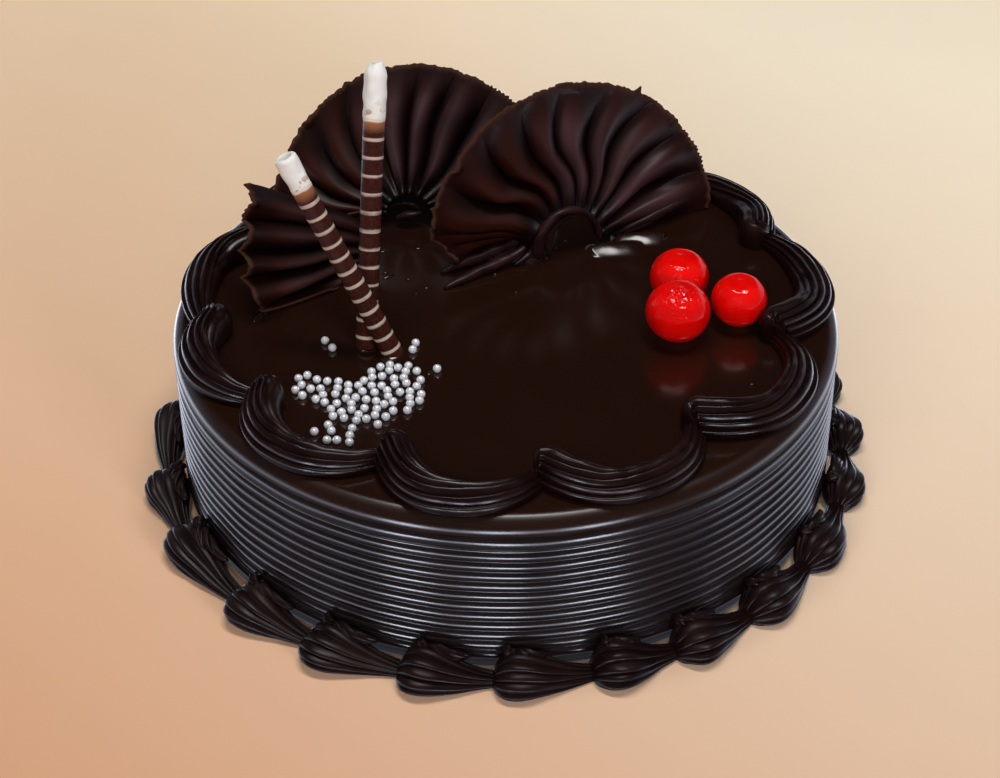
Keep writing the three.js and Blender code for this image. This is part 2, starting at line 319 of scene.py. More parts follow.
dullRim(glazeTree, glazeShader)
piping, *_ = chocolateMaterial("piping", {
    "Dark": (0.006, 0.0016, 0.0014, 1), "Light": (0.011, 0.003, 0.0026, 1),
    "Patch Scale": 90, "Grain Scale": 900, "Low Roughness": 0.25, "High Roughness": 0.36,
}, (0.3, 0.05), **{"Specular IOR Level": 0.27})
footPiping, *_ = chocolateMaterial("footPiping", {
    "Dark": (0.0065, 0.002, 0.0019, 1), "Light": (0.012, 0.0036, 0.0034, 1),
    "Patch Scale": 70, "Grain Scale": 800, "Low Roughness": 0.38, "High Roughness": 0.5,
}, (0.3, 0.06), **{"Specular IOR Level": 0.25})
cherryRed, cherryTree, cherryShader = chocolateMaterial("cherry", {
    "Dark": (0.62, 0.0012, 0.0007, 1), "Light": (0.76, 0.003, 0.0013, 1),
    "Patch Scale": 120, "Grain Scale": 500, "Low Roughness": 0.07, "High Roughness": 0.13,
}, (0.12, 0.1), **{"Specular IOR Level": 0.45})
wrinkles = {"stretch": (0.5, 0.5, 1.9), "scale": 420, "distortion": 0.6, "strength": 0.5, "depth": 0.12}


def wrinkleSkin(tree, shader):  # fine wrinkles that run round the fruit
    where = addNode(tree, "ShaderNodeMapping")
    where.inputs["Scale"].default_value = wrinkles["stretch"]
    tree.links.new(objectPlace(tree), where.inputs["Vector"])
    height = noisy(tree, where.outputs["Vector"], wrinkles["scale"], distortion=wrinkles["distortion"])
    bump = bumped(tree, height, wrinkles["strength"], wrinkles["depth"])
    tree.links.new(fedBy(shader, "Normal"), bump.inputs["Normal"])
    tree.links.new(bump.outputs["Normal"], shader.inputs["Normal"])


wrinkleSkin(cherryTree, cherryShader)
print("materials ready")


# Cake: a combed side, spun from its profile
cake = {"radius": 103, "ridges": 11, "pitch": 3.69, "lowest": 5.3, "depth": 0.95, "band": 46.7,
        "bandHalf": 2.2, "lipFoot": 49.3, "top": 52.9, "wander": 0.16, "swell": 0.28, "spinSteps": 300,
        "ridgeParts": [0.0, 0.06, 0.16, 0.3, 0.45, 0.6, 0.74, 0.86, 0.95],
        "bandParts": [0.0, 0.1, 0.25, 0.4, 0.55, 0.7, 0.85, 1.0]}


def combRadius(part):  # each ridge is round, with a sharp groove under it
    return cake["radius"] - cake["depth"] * (1 - math.sin(math.pi * part) ** 0.6)


def combProfile():
    side = []
    for k in range(cake["ridges"]):
        foot = cake["lowest"] + (k - 0.5) * cake["pitch"]
        side += [(combRadius(part), foot + part * cake["pitch"]) for part in cake["ridgeParts"]]
    bandFoot = cake["band"] - cake["bandHalf"]
    return side + [(combRadius(part), lerp(bandFoot, cake["lipFoot"], part)) for part in cake["bandParts"]]


def buildCake():
    radius, depth = cake["radius"], cake["depth"]
    profile = [(0, 0), (radius - depth - 0.6, 0), (radius - depth, 1.2), *combProfile(),
               (radius - 2.4, cake["top"] - 2.2), (radius - 6, cake["top"]), (0, cake["top"])]
    piece = turned("cakeBody", profile, cake["spinSteps"])
    for corner in piece.data.vertices:
        x, y, z = corner.co / mm
        if math.hypot(x, y) < 90:
            continue
        angle = math.atan2(y, x)
        outward = Vector((math.cos(angle), math.sin(angle), 0))
        fade = 1 - smooth((z - 44) / 6)  # steady again at the band
        wander = noise.noise(Vector((math.cos(angle) * 3, math.sin(angle) * 3, z * 0.05))) * cake["wander"]
        swell = noise.noise(Vector((math.cos(angle) * 6, math.sin(angle) * 6, z * 0.03 + 7))) * cake["swell"]
        corner.co.z += wander * fade * smooth(z / 4) * mm
        corner.co += outward * (swell - 0.1) * fade * mm
    finishPiece(piece, coating, "coating", "cake")


buildCake()
print("cake body combed")


# Glaze: a mirror-smooth top that rolls over the rim
top = {"height": 56, "radius": 103, "rim": 4.8, "rimSteps": 12, "lip": 49.6, "lipInner": 101.4, "under": 53.3,
       "spinSteps": 240}


def buildGlaze():
    rim, radius, lip = top["rim"], top["radius"], top["lip"]
    profile = [(0, top["under"]), (radius - rim, top["under"]), (top["lipInner"], lip + 0.4),
               (top["lipInner"] + 0.5, lip), (radius - 0.5, lip), (radius - 0.1, lip + 0.35)]
    for k in range(top["rimSteps"] + 1):
        turn = math.pi / 2 * k / top["rimSteps"]
        profile.append((radius - rim * (1 - math.cos(turn)), top["height"] - rim * (1 - math.sin(turn))))
    profile += [(90, top["height"]), (45, top["height"]), (0, top["height"])]
    finishPiece(turned("glazeCap", profile, top["spinSteps"]), glaze, "glaze", "glaze")


buildGlaze()
print("glaze poured")


# Where the glaze has run up against things: a swelling before the right fan, drops, and raised edges
runs = {"rows": 24, "columns": 32, "fineRows": 90, "fineColumns": 128, "under": 0.4, "topShare": 0.85}
swelling = {
    "centre": (39.2, 37.2), "halfLength": 15, "halfWidth": 9, "turn": 30, "flatHalf": 10.5, "rise": 0.09,
    "lobes": [(34, 33.7, 0.94), (44.4, 39.9, 0.94)], "merge": 2.4,
    # across it, from the front: place and height
    "across": [(-6.2, 0), (-5.2, 0.14), (-4.3, 0.5), (-1.3, 2.02), (-0.5, 2.27), (0.1, 2.27), (0.9, 1.8),
               (2.4, 0.4), (3.2, 0)]}
drops = [  # x, y, half length, half width, turn
    (9.4, 29.6, 0.9, 0.7, 60), (12.6, 28.4, 1.3, 0.6, -40), (16, 34, 0.7, 0.7, 0), (19.3, 37.6, 0.8, 0.7, 0),
    (30, 41.2, 1.0, 0.8, 0), (34.7, 43.6, 1.1, 0.8, 30), (43.9, 47.4, 1.8, 0.8, 35),
    (48.4, 50.2, 2.4, 0.8, 32),
    (-65.2, 5.3, 1.2, 0.8, 20), (-52.8, 12.5, 1.0, 0.9, 0), (-74.6, -1.7, 1.0, 0.9, 0),
    (-76.4, -4.4, 2.8, 0.9, 60), (-37.9, 20.2, 1.2, 0.7, 40), (-36.9, 18.0, 2.2, 0.7, 35),
    (-39.4, 32.3, 1.4, 0.8, 10), (-28.2, 34, 1.3, 0.8, 0), (-27.8, 8.4, 1.0, 0.6, 50),
    (-24.4, 11.7, 1.5, 0.6, 45), (-30.8, 16.2, 0.8, 0.7, 0), (-3.4, 18.8, 0.8, 0.6, 0),
    (73, -40.1, 1.2, 0.7, 0), (-22.4, -33.2, 1.9, 0.7, 60), (3.2, 8.6, 0.7, 0.6, 0),
    (60.8, 24.2, 0.8, 0.7, 0)]
dropHeight = 0.62
puddles = [  # x, y, radius of the raised edge, height of its middle
    (53.8, 4.3, 6.9, 1.0), (52.1, -15.2, 7.3, 1.15), (71.3, -7.5, 6.5, 1.05), (-42.5, -18.7, 4.3, 0.6),
    (-34.2, -22.9, 4.3, 0.6)]
puddleEdge = [(0, 1), (0.62, 1), (0.74, 0.62), (0.86, 0.25), (1, 0)]


def buildRun(name, centre, halfLength, halfWidth, turn, raised, fine=False):
    spin = Matrix.Rotation(math.radians(turn), 2)
    rows, columns = (runs["fineRows"], runs["fineColumns"]) if fine else (runs["rows"], runs["columns"])

    def place(part, column):
        angle = math.tau * (column % columns) / columns
        onTop = part <= runs["topShare"]
        spread = part / runs["topShare"] if onTop else (1 - part) / (1 - runs["topShare"])
        spread = spread if fine else 1 - (1 - spread) ** 2  # closer rows near a steep edge
        here = spin @ Vector((math.cos(angle) * halfLength, math.sin(angle) * halfWidth)) * spread
        up = max(raised(here.x + centre[0], here.y + centre[1], spread), 0) if onTop else -runs["under"]
        return Vector((here.x + centre[0], here.y + centre[1], top["height"] + up - 0.02))

    return skin(name, rows, columns, place)


def swollen(x, y, spread):  # the lobes of the swelling, merged
    total = 0
    for lobeX, lobeY, share in swelling["lobes"]:
        flat = max(1 - (abs(x - lobeX) / swelling["flatHalf"]) ** 4, 0)
        across = y - lobeY - swelling["rise"] * (x - lobeX)
        if swelling["across"][0][0] < across < swelling["across"][-1][0]:
            total += (between(swelling["across"], across) * flat * share) ** swelling["merge"]
    uneven = 1 + 0.1 * noise.noise(Vector((x * 0.25, y * 0.25, 4)))
    return total ** (1 / swelling["merge"]) * uneven * smooth((1 - spread) / 0.15)


def buildRuns():
    pieces = [buildRun("glazeSwelling", swelling["centre"], swelling["halfLength"], swelling["halfWidth"],
                       swelling["turn"], swollen, fine=True)]
    for k, (x, y, halfLength, halfWidth, turn) in enumerate(drops):
        pieces.append(buildRun(f"glazeDrop{k + 1:02d}", (x, y), halfLength, halfWidth, turn,
                               lambda x, y, spread: dropHeight * math.sqrt(max(1 - spread ** 2, 0))))
    for k, (x, y, radius, height) in enumerate(puddles):
        pieces.append(buildRun(f"glazeEdge{k + 1:02d}", (x, y), radius * 1.04, radius * 1.04, 0,
                               lambda x, y, spread: height * between(puddleEdge, spread)))
    finishPiece(joined(pieces), glaze, "glaze", "glaze")


buildRuns()
print("swelling, drops and raised edges poured")


# Silver pearls, in the same drawn places as on the solid glaze
pearl = {"diameter": 2.6, "sink": 0.35, "seed": 11, "spare": 0.25, "mostTries": 4000,
         "strays": [(-69.6, -37.7), (-55, -17.8), (-52.6, -21.5), (-27.4, -19.2), (-28.2, -22.6),
                    (-20.6, -32.5)],
         # x, y, half length, half width, turn, count
         "patches": [(-39, -47, 15, 11, 20, 50), (-55, -42, 10, 6, -35, 12), (-33, -37, 8, 7, 0, 12),
                     (-45, -60, 12, 8, 25, 9)]}


def pearlPlaces():
    draw = seededDraw(pearl["seed"])
    spacing = pearl["diameter"] + pearl["spare"]
    places = [Vector(place) for place in pearl["strays"]]
    for x, y, halfLength, halfWidth, turn, count in pearl["patches"]:
        wanted = len(places) + count
        tries = 0
        cosine, sine = math.cos(math.radians(turn)), math.sin(math.radians(turn))
        while tries < pearl["mostTries"] and len(places) < wanted:
            tries += 1
            drawn = (draw(), draw())
            if math.hypot(*drawn) > 1:
                continue
            along, aside = drawn[0] * halfLength, drawn[1] * halfWidth
            place = Vector((along * cosine - aside * sine + x, along * sine + aside * cosine + y))
            if all((place - other).length > spacing for other in places):
                places.append(place)
    return places


silver, *_ = chocolateMaterial("silver", {
    "Dark": (0.86, 0.87, 0.92, 1), "Light": (0.97, 0.98, 1, 1), "Patch Scale": 300, "Grain Scale": 2500,
    "Low Roughness": 0.08, "High Roughness": 0.15}, (0.25, 0.05), Metallic=0.5)


def buildPearls():
    deselectAll()
    beads = []
    height = top["height"] + pearl["diameter"] / 2 - pearl["sink"]
    bpy.ops.mesh.primitive_ico_sphere_add(subdivisions=3, radius=pearl["diameter"] / 2 * mm)
    first = bpy.context.object
    bpy.ops.object.shade_smooth()
    for k, place in enumerate(pearlPlaces()):
        bead = first.copy()
        bead.data = first.data.copy()
        bpy.context.scene.collection.objects.link(bead)
        middle = Vector((place.x, place.y, height)) * mm
        shift(bead, Matrix.Translation(middle) @ Matrix.Rotation(k, 4, "X"))
        beads.append(bead)
    bpy.data.objects.remove(first)
    piece = joined(beads)
    piece.name = "silverPearls"
    finishPiece(piece, silver, "glaze", "glaze")


buildPearls()
print("pearls scattered")


# Fluted piping: broad faces that fall away from a raised lip, with a sharp groove under each
def petalFace(part, lipShare, fall):
    if part < lipShare:
        return math.sin(part / lipShare * math.pi / 2) ** 0.7
    return 1 - ((part - lipShare) / (1 - lipShare)) ** fall


# Top border: arched strokes from cusp to cusp, each with a curled head over the last one's tail
border = {
    # angle and inner radius of each cusp that shows; the rest are even
    "cusps": [(-173.2, 85.0), (-146.9, 79.8), (-114.2, 75.4), (-83.6, 77.8), (-49.4, 75.3), (-12.5, 77.0),
              (23.1, 83.7)],
    "hiddenCusps": 4, "hiddenRadius": 79, "hiddenUneven": 1.5, "width": 12.6, "height": 7.6,
    "lobeRadius": 96.7, "lobePower": 2.3, "headInset": 3, "tailInset": 8, "pathStart": 0.06,
    "headShare": 0.16, "skew": 0.16, "depth": 0.2, "rows": 120, "groundColumns": 3,
    "flutes": [0, 0.3, 0.44, 0.58, 0.72, 0.86, 1],  # the first is the smooth hood
    "widths": [(0, 1.0), (0.2, 1.03), (0.4, 1.0), (0.6, 0.94), (0.8, 0.76), (1, 0.5)],
    "heights": [(0, 1.3), (0.12, 1.25), (0.3, 1.05), (0.5, 0.98), (0.75, 0.88), (1, 0.6)],
    "hoods": [(0, 0.52), (0.2, 0.46), (0.42, 0.32), (0.7, 0.22), (1, 0.18)],  # the hood's share, along it
    "hoodParts": [0, 0.05, 0.12, 0.22, 0.34, 0.46, 0.58, 0.7, 0.82, 0.92],
}
faceParts = [0, 0.05, 0.12, 0.2, 0.34, 0.5, 0.68, 0.86]


def allCusps():
    cusps = list(border["cusps"])
    (lastAngle, _), (firstAngle, _) = cusps[-1], cusps[0]
    for k in range(1, border["hiddenCusps"] + 1):
        cusps.append((lerp(lastAngle, firstAngle + 360, k / (border["hiddenCusps"] + 1)),
                      border["hiddenRadius"] + border["hiddenUneven"] * (1 if k % 2 else -1)))
    return cusps


def strokeSection():  # round a stroke: (angle share from the inner foot to the outer one, lip share)
    points = []
    edges = border["flutes"]
    for k, (start, end) in enumerate(zip(edges, edges[1:])):
        for part in border["hoodParts"] if k == 0 else faceParts:
            shape = math.sin(math.pi * part) ** 0.45 if k == 0 else petalFace(part, 0.16, 1.8)
            points.append((lerp(start, end, part), shape))
    points.append((1, 0))
    return points


sectionPoints = strokeSection()
topColumns = len(sectionPoints) - 1


def strokeRow(here, after, scale, part):  # inner and outer edge and height of a section
    headRadius, tailRadius = here[1] + border["headInset"], after[1] + border["tailInset"]

    def onPath(along):
        along = lerp(border["pathStart"], 1, along)
        side = 2 * along - 1
        inner = headRadius if side < 0 else tailRadius
        radius = border["lobeRadius"] - (border["lobeRadius"] - inner) * abs(side) ** border["lobePower"]
        return polar(radius, lerp(here[0], after[0], along))

    def inward(along):
        ahead = (onPath(along + 0.01) - onPath(along - 0.01)).normalized()
        return Vector((-ahead.y, ahead.x, 0)), ahead

    half = border["width"] / 2 * scale
    headShare = border["headShare"]
    if part >= headShare:
        along = (part - headShare) / (1 - headShare)
        middle = onPath(along)
        aside, _ = inward(along)
        reach = half * between(border["widths"], along)
        height = border["height"] * scale * between(border["heights"], along)
        return middle + aside * reach, middle - aside * reach, height
    # the head swings round from the pinched start
    turn = part / headShare
    middle = onPath(0)
    aside, ahead = inward(0)
    reach = half * between(border["widths"], 0)
    pinch = middle - aside * reach * 0.7 + ahead * reach * 0.25
    swing = math.pi * turn
    rim = middle - aside * reach * math.cos(swing) - ahead * reach * math.sin(swing)
    outer = pinch.lerp(middle - aside * reach, smooth(turn))
    lift = border["heights"][0][1] * (0.25 + 0.75 * smooth(turn * 1.5))
    return pinch.lerp(rim, smooth(turn * 1.9)), outer, border["height"] * scale * lift


def buildStroke(name, here, after, scale, seed):
    rows = {}
    drift = drawnOffset(seededDraw(seed))
    firstEdge = border["flutes"][1]
    ground = top["height"] - 0.1

    def place(part, column):
        if part not in rows:
            rows[part] = strokeRow(here, after, scale, part)
        inner, outer, height = rows[part]
        if part == 0:
            height *= 0.02
        middle, half = (inner + outer) / 2, (inner - outer) / 2
        if column > topColumns:
            point = outer.lerp(inner, (column - topColumns) / border["groundColumns"])
            return Vector((point.x, point.y, ground))
        angleShare, lip = sectionPoints[column]
        hood = between(border["hoods"], max(part - border["headShare"], 0) / (1 - border["headShare"]))
        if angleShare < firstEdge:
            angleShare *= hood / firstEdge
        else:
            angleShare = lerp(hood, 1, (angleShare - firstEdge) / (1 - firstEdge))
        angle = math.pi * angleShare
        size = 1 - border["depth"] * (1 - lip)
        across = math.cos(angle) + border["skew"] * math.sin(angle) ** 2
        up = max(math.sin(angle), 0) ** 0.8
        point = middle + half * across * size
        wobble = noise.noise(Vector((point.x, point.y, angleShare * 9)) * 0.22 + drift) * 0.35 * up
        return Vector((point.x, point.y, ground + (height + wobble) * up * size))

    return skin(name, border["rows"], topColumns + border["groundColumns"], place)


def buildBorder():
    draw = seededDraw(21)
    cusps = allCusps()
    for k, here in enumerate(cusps):
        angle, radius = cusps[(k + 1) % len(cusps)]
        after = (angle + 360 if angle < here[0] else angle, radius)
        piece = buildStroke(f"topStroke{k + 1:02d}", here, after, 1 + 0.04 * draw(), 30 + k)
        finishPiece(piece, piping, "piping", f"border_{k + 1:02d}")


buildBorder()
print("top border piped")


# Base border: plump shells of overlapping petals with pinched tails, piped into the corner round the foot
shell = {
    "junctions": [-189.5, -170.6, -156.3, -137.0, -122.0, -106.1, -91.6, -76.5, -63.0, -48.8, -33.3, -16.6,
                  -1.8, 12.1],
    "count": 23, "reach": 16.4, "height": 10.6, "frontReach": 0.2, "rows": 60, "wallLap": 0.6,
    # turn of each groove, from the wall over the top and down to the floor
    "grooves": [158, 128, 102, 76, 47, 18, -7, -30, -60, -110, -155, -202],
    "petalParts": [0, 0.05, 0.15, 0.32, 0.5, 0.66, 0.8, 0.9, 0.97],
    "deep": 0.0068, "deepest": 0.19, "jitter": 3.5,
    "sizes": [(0, 0.42), (0.05, 0.64), (0.12, 0.88), (0.22, 1.0), (0.36, 0.95), (0.52, 0.74), (0.7, 0.5),
              (0.86, 0.34), (1, 0.24)],
    "middleOut": 5.4, "middleUp": 0.4, "round": 0.82, "headLap": 1.6, "tailLap": 2.2,
}
curl = {"from": 0.08, "to": 0.66, "out": 2.4, "upStart": 10.2, "upEnd": 7.4, "radius": 2.5, "flutes": 5,
        "depth": 0.34, "rows": 44,
        "sizes": [(0, 0.5), (0.1, 1.0), (0.2, 0.62), (0.34, 1.05), (0.62, 0.85), (1, 0.3)]}


def allJunctions():
    seen = shell["junctions"]
    hidden = shell["count"] - (len(seen) - 1)
    return seen + [lerp(seen[-1], seen[0] + 360, k / hidden) for k in range(1, hidden)]


def power(value, exponent):
    return math.copysign(abs(value) ** exponent, value)


def closedEnds(part, nose, tail):
    if part < nose:
        return math.sqrt(max(1 - ((nose - part) / nose) ** 2, 0))
    if part > 1 - tail:
        return math.sqrt(max(1 - ((part - 1 + tail) / tail) ** 2, 0))
    return 1


def buildShell(name, start, end, reach, height, seed):
    draw = seededDraw(seed)
    twist = 16 + 12 * draw()
    phase = 6 * draw()
    grooves = [turn + shell["jitter"] * draw() for turn in shell["grooves"][:-1]]
    grooves.append(grooves[0] - 360)
    drift = drawnOffset(draw)
    petalParts = shell["petalParts"]
    columns = (len(grooves) - 1) * len(petalParts)
    lapAngle = math.degrees(1 / (cake["radius"] + 6))

    def place(part, column):
        column %= columns
        petal, step = divmod(column, len(petalParts))
        share = petalParts[step]
        upper, lower = grooves[petal], grooves[petal + 1]
        size = between(shell["sizes"], part) * closedEnds(part, 0.06, 0.03)
        turn = lerp(upper, lower, share) - phase - twist * (part - 0.3)
        depth = min(shell["deep"] * (upper - lower), shell["deepest"])
        # each petal is full and round, and fullest near its lower edge, which hangs over the next one
        star = 1 - depth * (1 - math.sin(math.pi * share ** 1.35) ** 0.6)
        middleUp = max(shell["middleUp"] * height * size, 1.4)
        middleOut = shell["middleOut"]
        outwards = power(math.cos(math.radians(turn)), shell["round"])
        upwards = power(math.sin(math.radians(turn)), shell["round"])
        halfOut = (reach - middleOut) * size if outwards > 0 else middleOut * max(size, 0.5)
        halfUp = height * size - middleUp if upwards > 0 else middleUp * 1.25
        out = middleOut + outwards * halfOut * star
        up = middleUp + upwards * halfUp * star
        wobble = 1 + 0.07 * noise.noise(Vector((out, up, part * 9)) * 0.22 + drift)
        out, up = max(out * wobble, -0.6), max(up * wobble, 0.0)
        angle = lerp(start - lapAngle * shell["headLap"], end + lapAngle * shell["tailLap"], part)
        return polar(cake["radius"] - shell["wallLap"] + out, angle, up)

    return skin(name, shell["rows"], columns, place)


def buildCurl(name, start, end, seed):  # the curled beginning of each shell, pressed against the wall
    draw = seededDraw(seed)
    twist = 210 + 50 * draw()
    phase = 40 * draw()
    radius = curl["radius"] * (1 + 0.12 * draw())
    first = lerp(start, end, curl["from"] + 0.05 * draw())
    last = lerp(start, end, curl["to"] + 0.08 * draw())
    drift = drawnOffset(draw)
    columns = curl["flutes"] * len(faceParts)

    def place(part, column):
        column %= columns
        flute, step = divmod(column, len(faceParts))
        size = between(curl["sizes"], part) * closedEnds(part, 0.1, 0.1) * radius
        turn = math.radians(130 - phase - twist * part - 360 * (flute + faceParts[step]) / curl["flutes"])
        star = 1 - curl["depth"] * (1 - petalFace(faceParts[step], 0.14, 1.6))
        out = curl["out"] + 1.6 * math.sin(math.pi * part) + math.cos(turn) * size * star
        up = lerp(curl["upStart"], curl["upEnd"], part ** 0.8) + math.sin(turn) * size * star
        wobble = 0.5 * noise.noise(Vector((out, up, part * 7)) * 0.4 + drift)
        out = max(out + wobble, -0.5)
        return polar(cake["radius"] - shell["wallLap"] + out, lerp(first, last, part), up + wobble)

    return skin(name, curl["rows"], columns, place)


def buildShells():
    draw = seededDraw(4)
    starts = allJunctions()
    for k, start in enumerate(starts):
        end = starts[k + 1] if k + 1 < len(starts) else starts[0] + 360
        frontness = max(0, -math.sin(math.radians((start + end) / 2)))
        reach = shell["reach"] * (1 - shell["frontReach"] * (1 - frontness)) * (1 + 0.03 * draw())
        height = shell["height"] * (1 + 0.06 * draw())
        piece = buildShell(f"footScroll{k + 1:02d}", start, end, reach, height, 60 + k)
        finishPiece(piece, footPiping, "piping", f"shell_{k + 1:02d}")
        finishPiece(buildCurl(f"footCurl{k + 1:02d}", start, end, 160 + k), footPiping, "piping")


buildShells()
print("base shells piped")


# Chocolate fans: thin sheets gathered round an arch, in full petals that fade towards a ragged rim
fanShape = {"thickness": 0.8, "pleat": 1.9, "full": 0.5, "overlap": 1.8, "cup": 4, "curl": 5,
            "footHeight": 2.4, "rows": 70, "foldColumns": 12, "lip": 0.05, "throat": 5, "ragged": 0.8,
            "saw": 0.9, "spike": 2.6, "frill": 1.6,
            "strandRows": 36, "strandColumns": 14, "strandSquat": 0.75}
# how deep the folds are from the gather to the rim, in the open fans and in the rolled one
foldRows = [(0, 0.3), (0.06, 0.5), (0.15, 0.85), (0.3, 1.05), (0.5, 1.15), (0.7, 0.8), (0.88, 0.38),
            (1, 0.18)]
rollRows = [(0, 0.4), (0.1, 0.8), (0.3, 1.2), (0.6, 1.6), (0.85, 1.9), (1, 2.0)]
fans = [
    # folds: angle near the gather, half way out and at the rim, how far it stands out, how far it reaches
    # paintedSheen: the angles between which the crests get a painted violet sheen highlight, and how strong
    # it is
    # strands: the rolled edge of the gather and the pleats laid on the glaze, as (x, y, z, half width)
    {"name": "fan_right", "piece": "fanRight", "at": (21.5, 37), "turn": 25, "lean": 8, "gather": 10.9,
     "rim": 50.8, "rows": foldRows, "seed": 71, "leftFoot": 4.2, "rightFoot": 0, "spikeAt": 57.5,
     "sawFrom": 8, "sawTo": 34, "paintedSheen": (-40, 112, 0.8), "shiftIn": -2.4,
     "folds": [
         (-4, -4.5, -2, -0.4, 0.98), (8, 8, 5, 1.3, 1), (15, 17.5, 13, -2.0, 1), (24, 28.5, 23.5, 1.1, 1),
         (35, 37.5, 31.5, -1.5, 0.99), (43, 47, 41.5, 1.2, 1), (51, 57.5, 49.5, -1.4, 1),
         (58, 65.5, 60, 1.1, 1), (63, 74, 71, -1.1, 1), (72, 84.5, 81, 0.6, 1.005), (79, 94, 88.5, -1, 1),
         (87, 99, 96, 0.8, 1), (98, 109, 105, -1.3, 1), (108, 120, 112, 0.9, 1.005),
         (116, 128.5, 123, -1.5, 1), (124, 139, 133.5, 1.2, 1), (138, 147.5, 146, -1.6, 1),
         (149, 155, 157, 1.0, 1.01), (160, 164, 165.5, -0.3, 0.99), (168, 171, 171, -2.2, 0.88),
         (176, 178, 178, -2.7, 0.8)],
     "strands": [
         [(10.4, 26.8, 56.6, 1.9), (10.2, 27.2, 61, 2.1), (11.3, 28.2, 65, 2.2), (13.2, 29.6, 68, 2.2),
          (16.4, 31.4, 70.4, 2.0), (20.5, 33.4, 71, 1.7), (24.4, 34.9, 69.4, 1.5), (27.7, 36.1, 66.4, 1.4),
          (29.8, 36.6, 62.6, 1.3), (30.7, 36.4, 57, 1.3)],
         [(7.4, 32.4, 63, 1.2), (3.1, 30.1, 61.2, 1.9), (-1.8, 28.3, 60, 2.3), (-8.1, 25.4, 58.7, 2.4),
          (-14.5, 23.0, 57.6, 2.0), (-20.8, 19.6, 56.4, 0.8)],
         [(8.2, 30.4, 62.6, 1.1), (5.0, 27.3, 60, 1.7), (0.1, 24.0, 58.6, 2.0), (-6.5, 19.9, 57.8, 2.1),
          (-13.7, 15.0, 57, 1.9), (-19.7, 10.7, 56.3, 0.8)],
         [(9.3, 29.8, 62, 1.0), (8.4, 28.6, 59.6, 1.3), (6.2, 26.0, 57.8, 1.4), (2.4, 23.1, 56.5, 0.6)],
         [(23.6, 37.6, 66, 1.3), (19.6, 35.6, 67.2, 1.5), (15.6, 33.2, 64.6, 1.6), (13.6, 31.8, 60, 1.6),
          (13.6, 31.4, 56.4, 1.2)],
         [(34.8, 41.0, 56.6, 0.8), (41.1, 44.2, 58.2, 1.7), (48.8, 48.4, 59.8, 2.3), (55.5, 52.6, 61.2, 2.0),
          (61, 56, 61.4, 0.8)],
         [(38.6, 41.9, 56.6, 0.5), (45.5, 46.2, 57.5, 1.1), (51.9, 50.4, 58.2, 0.5)]]},
    {"name": "fan_back", "piece": "fanBack", "at": (-29.5, 52), "turn": 0, "lean": 26, "gather": 6.5,
     "rim": 48, "rows": foldRows, "seed": 72, "leftFoot": 1, "rightFoot": 1, "spikeAt": -90, "sawFrom": 40,
     "sawTo": 60, "paintedSheen": (30, 130, 1.5), "shiftIn": -2,
     "folds": [
         (-3, 2, 5, -0.4, 1), (8, 12, 14, 0.8, 1), (17, 22, 24, -1, 1), (26, 32, 34, 0.8, 1),
         (33, 38, 43, -0.8, 1), (40, 44.5, 50, 0.7, 1), (51, 56, 57.5, -1, 1), (62, 67, 65.5, 1.3, 1),
         (74, 78, 72.5, -1.3, 1), (88, 86.5, 79.5, 1.3, 1), (96, 94.5, 87, -1.2, 1),
         (106, 102.5, 94.5, 1.0, 1), (117, 113, 104, -0.6, 1), (128, 123, 110, 0.5, 1.0),
         (139, 134, 117, -0.5, 0.99), (148, 143, 125, 0.5, 0.98), (157, 153, 135, -0.7, 0.965),
         (164, 160.5, 148.5, 0.8, 0.965), (170, 169, 157, -0.9, 0.95), (175, 174, 166, 0.6, 0.97),
         (180, 179, 173, -0.5, 0.97)],
     "strands": [
         [(-40.8, 49.6, 56.6, 0.9), (-39.6, 49.9, 60.6, 1.0), (-37.6, 50.4, 62.0, 1.0),
          (-34.3, 50.7, 62.6, 1.0), (-31.1, 50.7, 62.4, 0.9), (-28.5, 50.3, 61.2, 0.8),
          (-26.6, 49.6, 57, 0.8)],
         [(-35.6, 48.2, 58.6, 1.2), (-32.4, 47.6, 59.8, 2.0), (-29.4, 47.8, 60.4, 1.6),
          (-27, 48.4, 60.6, 0.6)]]},
    {"name": "fan_left", "piece": "fanLeft", "at": (-37.5, 30), "turn": 43, "lean": 18, "gather": 8,
     "rim": 56, "rows": rollRows, "seed": 73, "leftFoot": 1, "rightFoot": 0, "spikeAt": 138, "sawFrom": 138,
     "sawTo": 150, "paintedSheen": (90, 240, 0.45), "shiftIn": 0,
     "folds": [
         (124, 132, 137, -0.3, 1.0), (131, 138, 143, 0.35, 1.0), (138, 144, 148.5, -0.9, 0.985),
         (144, 149.5, 153.5, 0.9, 1.0), (152, 157.5, 158.5, -1.3, 0.965), (158, 162.5, 162.5, 1.1, 1.0),
         (164, 168, 167.5, -1.3, 0.95), (171, 173, 172.5, 1.0, 0.99), (178, 179.5, 180, -1.0, 0.9),
         (183, 184, 185, 0.6, 0.48), (188, 189, 190, -0.8, 0.36)],
     "strands": [
         [(-58.4, 43.2, 58.4, 0.4), (-57.0, 44.4, 58.8, 0.7), (-51.7, 49.0, 59.4, 0.8),
          (-46.2, 51.0, 59.8, 0.4)],
         [(-55.6, 42.6, 57.2, 0.4), (-54.4, 43.6, 57.4, 0.6), (-51.3, 46.5, 57.8, 0.6),
          (-47.6, 49.8, 57.8, 0.3)]]},
]


def foldAngle(fold, out):  # a fold starts straight, then bends its own way to the rim
    near, half, far = fold[:3]
    return between([(0, near), (0.2, near), (0.5, half), (1, far)], out)


# painted highlight: a violet sheen painted on the crests between two angles
def fanPaintedSheen(fan, angle, out):
    start, end, most = fan["paintedSheen"]
    paintedSheen = most * smooth((angle - start) / 25) * smooth((end - angle) / 25)
    return paintedSheen * (1 - 0.7 * smooth((out - 0.6) / 0.25))  # weaker towards the rim


